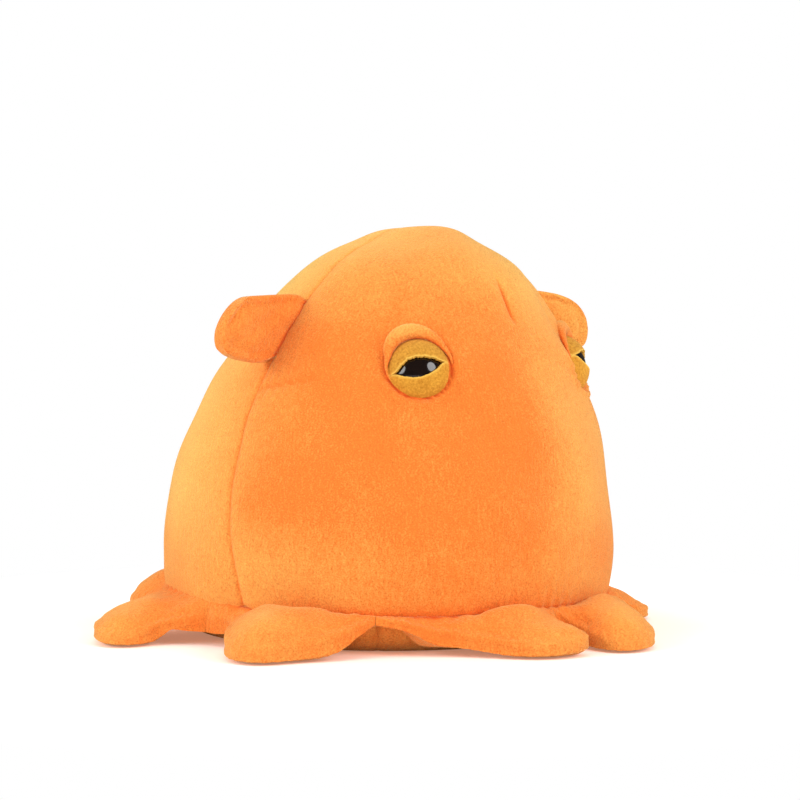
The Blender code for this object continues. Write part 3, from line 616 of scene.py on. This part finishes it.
def arm_sheets(turn, peak, end, fall, arch, outline, rows=56, columns=220):
    """The arm's upper and lower fabric, as heights over one plan. The upper one runs down off the body's wall
    in a fillet, e to the minus way out over 4 mm, swells over the arm and sinks to its end. The lower one
    arches from the seam to the floor. Both bulge past the sewn edge, so that it lies in a groove."""
    along = np.linspace(-1, 1, columns)
    root_turn = along * ARM_PITCH / 2
    climb = WALL_CLIMB * behind(turn + root_turn, 1.1, 2.0)
    lip = 1 - climb / WALL_CLIMB
    drop = (WIDEST_HEIGHT - SKIRT_SEAM_HEIGHT - climb) / (WIDEST_HEIGHT - SKIRT_SEAM_HEIGHT)
    inner = HALF_WIDTH - SKIRT_SEAM_TUCK * drop**2 - 0.0009
    root = np.stack([inner * np.cos(root_turn) - HINGE_RADIUS, inner * np.sin(root_turn)], -1)
    edge = smooth_line(np.array(outline, float) / 1000, columns)
    plan = laid_out(root, edge, rows)
    away, toward = edge_gap(plan, edge)
    out = np.hypot(plan[..., 0] + HINGE_RADIUS, plan[..., 1]) - inner
    past = np.maximum(out, 0)
    bearing = turn + np.arctan2(plan[..., 1], plan[..., 0] + HINGE_RADIUS)
    shared = 1 - ease(np.abs(along), 0.9, 1.0)
    stuffed = (1 - (1 - ease(out, 0.004, 0.018)) * ease(np.abs(along), 0.5, 0.84)) * shared

    root_height = SKIRT_SEAM_HEIGHT + SEAM_LIFT + climb
    crown = SKIRT_SEAM_HEIGHT + SEAM_LIFT + climb * np.exp(-past / 0.004)
    crown = crown + 0.0016 * lip * (1 - np.exp(-past / 0.0018))
    rise = (peak - SKIRT_SEAM_HEIGHT) * ease(out, 0, 0.010)
    crown = crown + (rise - (peak - end) * ease(out, *fall)) * stuffed
    high = edge[:, 2] + (crown - edge[:, 2]) * swell(away, 0.0055 + 0.0145 * stuffed, 2.0)
    high += (root_height - high) * bell(past, 0.0024)
    for _ in range(30):
        lift = high[2:, 1:-1] + high[:-2, 1:-1] + high[1:-1, 2:] + high[1:-1, :-2] - 4 * high[1:-1, 1:-1]
        high[1:-1, 1:-1] += lift / 6 * shared[1:-1]
    crease = -0.0007 * bell(out - seam_way_out(bearing), 0.0016) * (1 - lip)
    puckers = 0.0004 * gathers(bearing) * np.exp(-np.abs(out - 0.002) / 0.005) * ease(out, 0, 0.002)
    high += (puckers + crease) * ease(away, 0, 0.003)
    pucker = edge_puckers(edge, 0.0047, 0.007)
    rim = 0.0003 * pucker * np.exp(-away / 0.003) * ease(away, 0, 0.0012) - 0.0003 * bell(away - 0.0024, 0.0009)
    lump = np.sin(plan @ (310.0, 120.0) + turn) * np.sin(plan @ (-150.0, 260.0) + 2 * turn)
    high += rim * shared + 0.0005 * lump * stuffed * ease(away, 0, 0.008) * ease(out, 0, 0.006)

    arched = arch * (1 - ease(out, 0.006, 0.022))
    under = WEB_UNDERSIDE - (WEB_UNDERSIDE - arched) * stuffed + 0.0006
    low = edge[:, 2] + (under - edge[:, 2]) * swell(away, 0.0050, 2.0)
    low += 0.0001 * pucker * bell(away - 0.002, 0.002) * shared
    low = np.minimum(low, high - 0.0012 * swell(away, 0.0015, 2.0))
    low[-1] = high[-1] = edge[:, 2]
    bulge = 0.0011 * bell(away - 0.0010, 0.0008) * ease(away, 0, 0.0005) * ease(out, 0.001, 0.004) * shared
    plan = plan + toward * bulge[..., None]
    high, low = np.maximum(high, FLOOR_CLEARANCE), np.maximum(low, FLOOR_CLEARANCE)
    return [np.concatenate([plan, height[..., None]], -1) for height in (high, low)]


def arm_nap_and_light(points):
    """Deep orange beside the seam and, as painted shade, under the arm; paler over its end's top, as painted
    light, and a little paler on the octopus's left. At the seam the pile parts and crease shade is painted.
    """
    x, y, z = points.T
    out = np.hypot(x, y) - SEAM_RADIUS
    parted_and_shaded = bell(out - seam_way_out(np.arctan2(x, -y)), 0.0012) * ease(z, 0.0105, 0.0145)
    parted_and_shaded *= 1.1 - 0.7 * ease(y, 0.02, 0.05)
    return 0.28 * ease(out, 0.004, 0.034) + 0.1 * ease(z, 0.008, 0.018) + 0.1 * ease(x, 0.0, 0.05) - parted_and_shaded


for name, (turn, peak, end, fall, arch, web_before, web_after, outline) in ARMS.items():
    turn = math.radians(turn)
    outward = np.array((math.sin(turn), -math.cos(turn), 0))
    sideways = np.array((math.cos(turn), math.sin(turn), 0))
    sheets = [
        (sheet[..., :1] + HINGE_RADIUS) * outward + sheet[..., 1:2] * sideways + sheet[..., 2:] * (0, 0, 1)
        for sheet in arm_sheets(turn, peak / 1000, end / 1000, np.array(fall) / 1000, arch / 1000, outline)
    ]
    arm = closed_grid("plush_" + name, *sheets)
    dressed(arm, plush, arm_nap_and_light(corners_of(arm)))
    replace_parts(arm, name, web_before, web_after)
    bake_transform(arm)


# ---- The fins -----------------------------------------------------------------------------------
# Two flaps of plush, sewn face to face, turned and stuffed lightly. Inside the edge the seam allowance makes
# a double rim. Each one's root is caught in the side seam.

FIN_REACH = 0.0345
# The root's middle and its direction up the seam, the way out over the reach, and the outline in
# millimetres: out from the root and up along it
FINS = {
    "left": ((0.067242, -0.012, 0.138411), (-0.618407, 0, 0.785858), (0.0345, -0.0125, 0),
             ((-8, -17.5), (-2, -18.4), (4, -18.7), (14, -18.7), (22, -17.5), (27, -15), (30, -11), (33, -5.4),
              (35.3, 1.6), (35.2, 8.2), (32.6, 12), (27, 14.8), (19, 16.4), (8, 17), (-2, 16.4), (-8, 15))),
    "right": ((-0.070999, -0.012, 0.133318), (0.582292, 0, 0.812979), (-0.0345, -0.008, 0),
              ((-8, -18), (-4.5, -20), (1, -20.8), (8, -20), (15, -19), (22, -17.3), (29, -13.8), (33.4, -9),
               (36.3, -4.3), (37.5, 0.5), (37.6, 5), (36.4, 9.2), (33.4, 11.4), (28, 12), (23.6, 12.4), (18, 13),
               (14, 13.4), (8, 14), (3, 14), (-3, 13), (-8, 12))),
}


def fin_sheets(middle, up, reach, outline, rows=44, columns=150):
    """The fin's two sides, as thicknesses to the front and back of a plane that leans forward. Each swells
    from the sewn edge, dips where the seam allowance ends, and swells on to the root, which is thickest at
    its top."""
    edge = smooth_line(np.array(outline, float) / 1000, columns)
    root = np.stack([np.full(columns, edge[0, 0]), np.linspace(edge[0, 1], edge[-1, 1], columns)], -1)
    plan = laid_out(root, edge, rows)
    away, toward = edge_gap(plan, edge)
    x, z = plan[..., 0], plan[..., 1]
    pucker = edge_puckers(edge, 0.0052, 0.008)
    half = (0.0044 + 0.0016 * ease(0.010 - x, 0, 0.014) * ease(z, -0.012, 0.006)) * swell(away, 0.0100, 2.0)
    ditch = 0.0009 * bell(away - 0.0040, 0.0012) * ease(x, 0.004, 0.018)
    half += 0.0010 * bell(away - 0.0018, 0.0012) - ditch
    half += 0.00003 * pucker * bell(away - 0.0036, 0.0025) * ease(x, 0.002, 0.010)
    half += 0.0003 * np.sin(plan @ (330.0, 210.0)) * ease(away, 0, 0.006)
    half *= ease(away, -0.0004, 0.0003)
    bulge = 0.0012 * bell(away - 0.0010, 0.0009) * ease(away, 0, 0.0005) * ease(x, -0.004, 0.002)
    plan = plan + toward * bulge[..., None]
    spine = np.array(middle) + plan[..., :1] / FIN_REACH * np.array(reach) + plan[..., 1:] * np.array(up)
    through = np.array((0, 1, 0)) * half[..., None]
    through[-1] = 0
    return spine - through, spine + through


for side, values in FINS.items():
    front, rear = fin_sheets(*values)
    fin = closed_grid("plush_fin_" + side, *((front, rear) if side == "left" else (rear, front)))
    # The left fin and the fins' outer ends are painted paler, as sheen, and a band along the root where the fin
    # meets the body darker, as crease shade
    nap_and_light = (0.45 if side == "left" else 0.12) + 0.1 * ease(np.abs(corners_of(fin)[:, 0]), 0.08, 0.1)
    dressed(fin, plush, nap_and_light - 1.1 * bell(bag_gap(corners_of(fin)) - 0.0004, 0.0011))
    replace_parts(fin, "fin_" + side)
    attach(fin, "fin_" + side)


# ---- The eyes -----------------------------------------------------------------------------------
# Safety eyes of polished black acrylic. Each has a stem that goes through the face and a white nylon washer
# pressed on it from inside. Felt lids, cut from one split round, are bent over it and sewn down.

EYE_RADIUS = 0.0134
EYE_SINK = 0.0088
LID_RADIUS = 0.015
LID_CLEARANCE = 0.0003


def in_place(side, points):
    """Points of an eye's own frame, brought to its place on the face."""
    place, *axes = EYES[side]
    return place + points @ np.array(axes)


def turned(name, profile, side, columns=96):
    """A profile of (radius, height) turned round the eye's own axis."""
    radius, height = np.array(profile).T
    turn = np.linspace(0, 2 * np.pi, columns + 1)
    height = np.broadcast_to(height[:, None], (len(radius), columns + 1))
    points = np.stack([radius[:, None] * np.cos(turn), radius[:, None] * np.sin(turn), height], -1)
    return wrapped(name, in_place(side, points))


def moulded(name, scale, detail, gloss, shades, **values):
    """A moulded plastic whose roughness and colour drift between two values each, as the flow leaves them."""
    material, tree, shader = surface(name, **values)
    place = add(tree, "TexCoord", {}, {}).outputs["Object"]
    flow = add(tree, "TexNoise", {}, {"Vector": place, "Scale": scale, "Detail": detail}).outputs["Fac"]
    rough = add(tree, "MapRange", {}, {0: flow, 3: gloss[0], 4: gloss[1]}).outputs[0]
    shade = add(tree, "Mix", {"data_type": "RGBA"},
                {0: flow, 6: linear(shades[0]), 7: linear(shades[1])}).outputs[2]
    tree.links.new(rough, shader.inputs["Roughness"])
    tree.links.new(shade, shader.inputs["Base Color"])
    return material


# Acrylic, tumbled to a gloss: nearly black brown, with a faint haze of swirls some 4 mm wide
acrylic = moulded("black_acrylic", 260.0, 4.0, (0.06, 0.13), ("#0c0402", "#160a06"), Roughness=0.09, IOR=1.54)
# Milky white nylon, with flow marks some 2 mm wide
nylon = moulded("moulded_nylon", 500.0, 3.0, (0.36, 0.5), ("#dfddd6", "#efeee9"), Roughness=0.42, IOR=1.53)

cap_turns = np.linspace(0, math.acos((EYE_SINK + LID_CLEARANCE) / EYE_RADIUS), 26)
cap = [(EYE_RADIUS * math.sin(turn), EYE_RADIUS * math.cos(turn) - EYE_SINK) for turn in cap_turns]
STEM = [(0.002, LID_CLEARANCE), (0.002, -0.0081), (0.0016, -0.0085), (0, -0.0085)]
for side in EYES:
    eyeball = turned("eyeball_" + side, cap + STEM, side)
    eyeball.data.materials.append(acrylic)
    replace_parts(eyeball, "eye_" + side)
    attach(eyeball, "body")
    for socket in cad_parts["eye_washer_" + side].material_slots:
        socket.material = nylon


def felt(name, deep, pale):
    """Pressed wool-blend felt, 1.3 mm thick. Its matted fibres make a fleck of about a millimetre, coarser
    than the real one, so that it shows. Its vertex attribute marks the cut edge, which is painted paler, as a
    highlight where the edge catches the light."""
    material, tree, shader = surface(name, Roughness=0.95, Sheen_Weight=0.2, Sheen_Roughness=0.6,
                                     Sheen_Tint=linear("#ffd98a"), Specular_IOR_Level=0.1)
    place = add(tree, "TexCoord", {}, {}).outputs["Object"]
    edge_highlight = add(tree, "Attribute", {"attribute_name": "nap_and_light"}, {}).outputs["Fac"]
    fleck = add(tree, "TexNoise", {}, {"Vector": place, "Scale": 1050.0, "Detail": 3.0,
                                       "Roughness": 0.7}).outputs["Fac"]
    patch = add(tree, "TexNoise", {}, {"Vector": place, "Scale": 180.0, "Detail": 2.0}).outputs["Fac"]
    level = add(tree, "Math", {"operation": "MULTIPLY_ADD"}, {0: fleck, 1: 2.2, 2: -0.75}).outputs[0]
    level = add(tree, "Math", {"operation": "MULTIPLY_ADD"}, {0: patch, 1: 0.3, 2: level}).outputs[0]
    colour = add(tree, "Mix", {"data_type": "RGBA"}, {0: level, 6: linear(deep), 7: linear(pale)}).outputs[2]
    colour = add(tree, "Mix", {"data_type": "RGBA"}, {0: edge_highlight, 6: colour, 7: linear("#f3c65a")}).outputs[2]
    tree.links.new(colour, shader.inputs["Base Color"])
    bump = add(tree, "Bump", {}, {"Height": fleck, "Strength": 0.6, "Distance": 0.0003})
    tree.links.new(bump.outputs[0], shader.inputs["Normal"])
    return material


# The slit between the lids: shares of the way from the eye's inner to its outer corner, and there the angles in
# degrees round the ball of the upper and the lower lid's edge
SLIT_CORNERS = (50.0, 136.8)
SLIT_SHARES = (0, 0.11, 0.227, 0.37, 0.51, 0.65, 0.763, 0.877, 1)
SLIT_EDGES = {1: (-4.5, 0.6, 3.8, 6.2, 8.2, 8.3, 5.1, -2, -9.9),
              -1: (-4.5, -13.5, -19.1, -22.9, -25, -24, -21.2, -17.4, -9.9)}


def ball(side, radius, polar, lune):
    """Points of a ball round the eye's middle: polar turns from corner to corner, lune over the slit."""
    points = np.stack([np.cos(polar) + 0 * lune, np.sin(polar) * np.sin(lune), np.sin(polar) * np.cos(lune)], -1)
    return in_place(side, radius * points - (0, 0, EYE_SINK))


def lid_sheets(side, sign):
    """The lid's outside and inside, parts of two balls: columns go from one corner of the eye to the other,
    and rows lead from the slit round the ball to the face. The lid's edge runs through the slit's points,
    rounded over a tenth of the slit and nicked here and there, and each column stops where halving finds
    the face."""
    polar = np.radians(np.linspace(27, 153, 126))
    degrees = np.degrees(polar) if side == "right" else 180 - np.degrees(polar)
    share = (degrees - SLIT_CORNERS[0]) / (SLIT_CORNERS[1] - SLIT_CORNERS[0])
    steps = (-0.05, -0.025, 0, 0.025, 0.05)
    edge = sum(np.interp(share + step, SLIT_SHARES, SLIT_EDGES[sign]) for step in steps) / 5
    inside = ease(share, 0.0, 0.15) * (1 - ease(share, 0.85, 1.0))
    nick = (1.1 * np.sin(61 * share + sign) * np.sin(23 * share + 2) + 0.5 * np.sin(140 * share)) * inside
    edge = np.radians(edge + nick * (1.0 if sign > 0 else 0.45) + 0.3 * sign)
    near, far = edge.copy(), np.full(len(edge), sign * math.radians(94))
    for _ in range(20):
        middle = (near + far) / 2
        outside = bag_gap(ball(side, LID_RADIUS, polar, middle)) > -0.0009
        near, far = np.where(outside, middle, near), np.where(outside, far, middle)
    lune = edge + (near - edge) * crowded(34, 0.0)[:, None]
    return [ball(side, radius, polar, lune) for radius in (LID_RADIUS, EYE_RADIUS + LID_CLEARANCE)]


# The upper lids' felt is the lower's a little darker: painted shade against the light that the upward-facing lid
# catches
mustard_upper_shaded = felt("mustard_felt_upper_shaded", "#a9691a", "#dc9f3a")
mustard_lower = felt("mustard_felt_lower", "#b4701a", "#e4a63c")
for side in EYES:
    for name, sign, look in (("upper", 1, mustard_upper_shaded), ("lower", -1, mustard_lower)):
        sheets = lid_sheets(side, sign)
        facing_out = sheets if sign > 0 else [sheet[:, ::-1] for sheet in sheets]
        lid = closed_grid(f"felt_{name}_lid_{side}", *facing_out)
        away = np.linalg.norm(corners_of(lid)[:, None] - sheets[0][0][None, ::3], axis=-1).min(1)
        # The cut edge along the slit is painted paler, as a highlight where the edge catches the light
        dressed(lid, look, 0.85 * bell(away, 0.0006))
        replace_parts(lid, f"{name}_lid_{side}")
        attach(lid, "body")


# ---- The brows ----------------------------------------------------------------------------------
# A strip of plush, rolled and stuffed to a crescent, sewn down over the upper lid. It is thickest over the
# eye's middle and thins out to a flat welt round the lower lid.


# The roll's width in millimetres round the eye, at angles in degrees from the eye's inner corner up and over
BROW_TURNS = (-10, 5, 20, 40, 60, 80, 100, 125, 145, 165, 185, 200)
BROW_WIDTHS = (0.4, 1.2, 2.1, 3.4, 5.0, 6.6, 7.3, 6.3, 3.6, 1.3, 0.5, 0.3)


def brow_grid(side, rows=150, columns=40):
    """Rings round an arc that lies against the lids' ball. A ring is half a circle on the eye's side and half an
    ellipse, 1.5 times as wide, that runs out into the face. Points inside the face are brought out to it."""
    share = np.linspace(0, 1, rows)[:, None]
    degrees = -9 + 206 * share
    around = np.linspace(0, 2 * np.pi, columns)[None, :]
    wide = sum(np.interp(degrees + step, BROW_TURNS, BROW_WIDTHS) for step in (-12, -6, 0, 6, 12)) / 5
    thick = wide / 2500
    thick *= ease(share, -0.01, 0.03) * ease(1 - share, -0.01, 0.03)
    turn = np.radians(degrees if side == "right" else 180 - degrees)
    middle = np.sqrt((LID_RADIUS - 0.0003 + thick) ** 2 - (EYE_SINK + 0.0004) ** 2)
    middle += 0.0018 * (1 - ease(thick, 0, 0.0012))
    gather = np.sin(share * 150 + 3 * np.sin(share * 17)) * bell(np.sin(around / 2 + np.pi / 4), 0.5)
    full = thick * (1 + 0.05 * gather)
    across = np.cos(around)
    reach = middle + full * np.where(across > 0, 1.5 * across, across)
    height = 0.0004 + 1.12 * full * np.sin(around)
    points = in_place(side, np.stack([reach * np.cos(turn), reach * np.sin(turn), height], -1))
    points += bag_slope(points)[0] * np.maximum(-0.0006 - bag_gap(points), 0)[..., None]
    points[:, -1] = points[:, 0]
    points[0], points[-1] = points[0].mean(0), points[-1].mean(0)
    return points if side == "right" else points[::-1]


for side in EYES:
    brow = wrapped("plush_brow_" + side, brow_grid(side))
    place, along, up, out = EYES[side]
    over = (corners_of(brow) - place) @ up
    gap = np.linalg.norm(corners_of(brow) - place + EYE_SINK * out, axis=1) - LID_RADIUS
    # The brow's top is painted paler, as a highlight, and the strip along the lid's edge darker, as crease shade
    dressed(brow, plush, 0.05 + 0.55 * ease(over, 0.009, 0.019) - 1.1 * bell(gap, 0.0008))
    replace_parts(brow, "brow_" + side)
    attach(brow, "body")


# ---- The floor, the light and the camera --------------------------------------------------------
# A white studio sweep under broad soft lamps. The camera stands 42 degrees round to the octopus's right,
# 0.8 m away and 105 mm above the floor, and looks almost level.

sweep_mesh = bpy.data.meshes.new("studio_floor")
sweep_mesh.from_pydata([(-4, -4, 0), (4, -4, 0), (4, 4, 0), (-4, 4, 0)], [], [(0, 1, 2, 3)])
sweep = bpy.data.objects.new("studio_floor", sweep_mesh)
bpy.context.scene.collection.objects.link(sweep)
sweep_look, sweep_tree, sweep_shader = surface(
    "white_paper", Base_Color=linear("#f2f0ee"), Roughness=1.0, Specular_IOR_Level=0.0)
path = add(sweep_tree, "LightPath", {}, {}).outputs
seen = add(sweep_tree, "Math", {"operation": "MAXIMUM"},
           {0: path["Is Camera Ray"], 1: path["Is Glossy Ray"]}).outputs[0]
spot = add(sweep_tree, "TexCoord", {}, {}).outputs["Object"]
distance = add(sweep_tree, "VectorMath", {"operation": "LENGTH"}, {0: spot}).outputs["Value"]
near = add(sweep_tree, "MapRange", {"interpolation_type": "SMOOTHSTEP"},
           {0: distance, 1: 0.12, 2: 0.2}).outputs[0]
# Near the octopus the floor's lift is tinted warm: a painted glow of bounce light from the orange plush, which
# also warms the shadow there
painted_bounce_tint = add(sweep_tree, "Mix", {"data_type": "RGBA"},
           {0: near, 6: linear("#ffb490"), 7: linear("#fff4ee")}).outputs[2]
lift = add(sweep_tree, "Emission", {}, {"Color": painted_bounce_tint, "Strength": 0.42})
both = add(sweep_tree, "AddShader", {}, {0: sweep_shader.outputs[0], 1: lift.outputs[0]})
glow = add(sweep_tree, "Emission", {}, {"Strength": 1.0})
far = add(sweep_tree, "MapRange", {"interpolation_type": "SMOOTHSTEP"},
          {0: distance, 1: 0.16, 2: 0.3}).outputs[0]
faded = add(sweep_tree, "MixShader", {}, {0: far, 1: both.outputs[0], 2: glow.outputs[0]})
mixed = add(sweep_tree, "MixShader", {}, {0: seen, 1: sweep_shader.outputs[0], 2: faded.outputs[0]})
sweep_tree.links.new(mixed.outputs[0], sweep_tree.nodes["Material Output"].inputs["Surface"])
sweep_mesh.materials.append(sweep_look)

world = bpy.data.worlds.new("studio")
bpy.context.scene.world = world
world.use_nodes = True
backdrop = world.node_tree
fill = backdrop.nodes["Background"]
fill.inputs["Color"].default_value = (1, 1, 1, 1)
fill.inputs["Strength"].default_value = 0.56
white = add(backdrop, "Background", {}, {"Color": (1, 1, 1, 1), "Strength": 1.0})
path = add(backdrop, "LightPath", {}, {}).outputs
shown = add(backdrop, "Math", {"operation": "MAXIMUM"},
            {0: path["Is Camera Ray"], 1: path["Is Transmission Ray"]}).outputs[0]
split = add(backdrop, "MixShader", {}, {0: shown, 1: fill.outputs[0], 2: white.outputs[0]})
dark = add(backdrop, "Background", {}, {"Color": (1, 0.9, 0.85, 1), "Strength": 0.12})
split = add(backdrop, "MixShader", {}, {0: path["Is Glossy Ray"], 1: split.outputs[0], 2: dark.outputs[0]})
backdrop.links.new(split.outputs[0], backdrop.nodes["World Output"].inputs["Surface"])


def facing(place, look):
    """The matrix of a lamp or camera at a place that looks along a line, with its upper side up."""
    look = np.array(look, float) / np.linalg.norm(look)
    right = np.cross(look, (0, 0, 1))
    right /= np.linalg.norm(right)
    turn = np.array((right, np.cross(right, look), -look)).T
    return Matrix([(*row, value) for row, value in zip(turn, place)] + [(0, 0, 0, 1)])


def lamp(name, place, shape, size, power, mirrored):
    """A soft lamp that faces the octopus's middle, and is mirrored in the eyes or not."""
    light = bpy.data.lights.new(name, "AREA")
    light.shape, light.size, light.energy = shape, size, power
    obj = bpy.data.objects.new(name, light)
    back = np.array(place, float) - (0, 0, 0.09)
    obj.matrix_world = facing(place, -back)
    obj.visible_glossy = mirrored
    bpy.context.scene.collection.objects.link(obj)


# The two round lamps stand where the photograph's eye mirrors them. A broad one hangs over the table, and two
# more fill in from the octopus's left and from behind
lamp("right_round", (0.255, -1.196, 0.662), "DISK", 0.7, 8.2, True)
lamp("left_round", (-1.265, 0.19, 0.523), "DISK", 0.7, 8.2, True)
lamp("overhead", (-0.3, -0.4, 1.8), "SQUARE", 1.6, 9, False)
lamp("left_fill", (1.5, -0.5, 0.7), "SQUARE", 1.2, 4, False)
lamp("back_fill", (-0.5, 1.5, 0.9), "SQUARE", 1.2, 7, False)

camera = bpy.data.cameras.new("camera")
camera.lens, camera.sensor_width = 80.95, 36
viewer = bpy.data.objects.new("camera", camera)
bpy.context.scene.collection.objects.link(viewer)
eye_at = np.array((-0.539554, -0.599985, 0.10524))
viewer.matrix_world = facing(eye_at, np.array((0.003686, -0.003314, 0.100586)) - eye_at)
bpy.context.scene.camera = viewer
bpy.context.scene.view_settings.view_transform = "Standard"
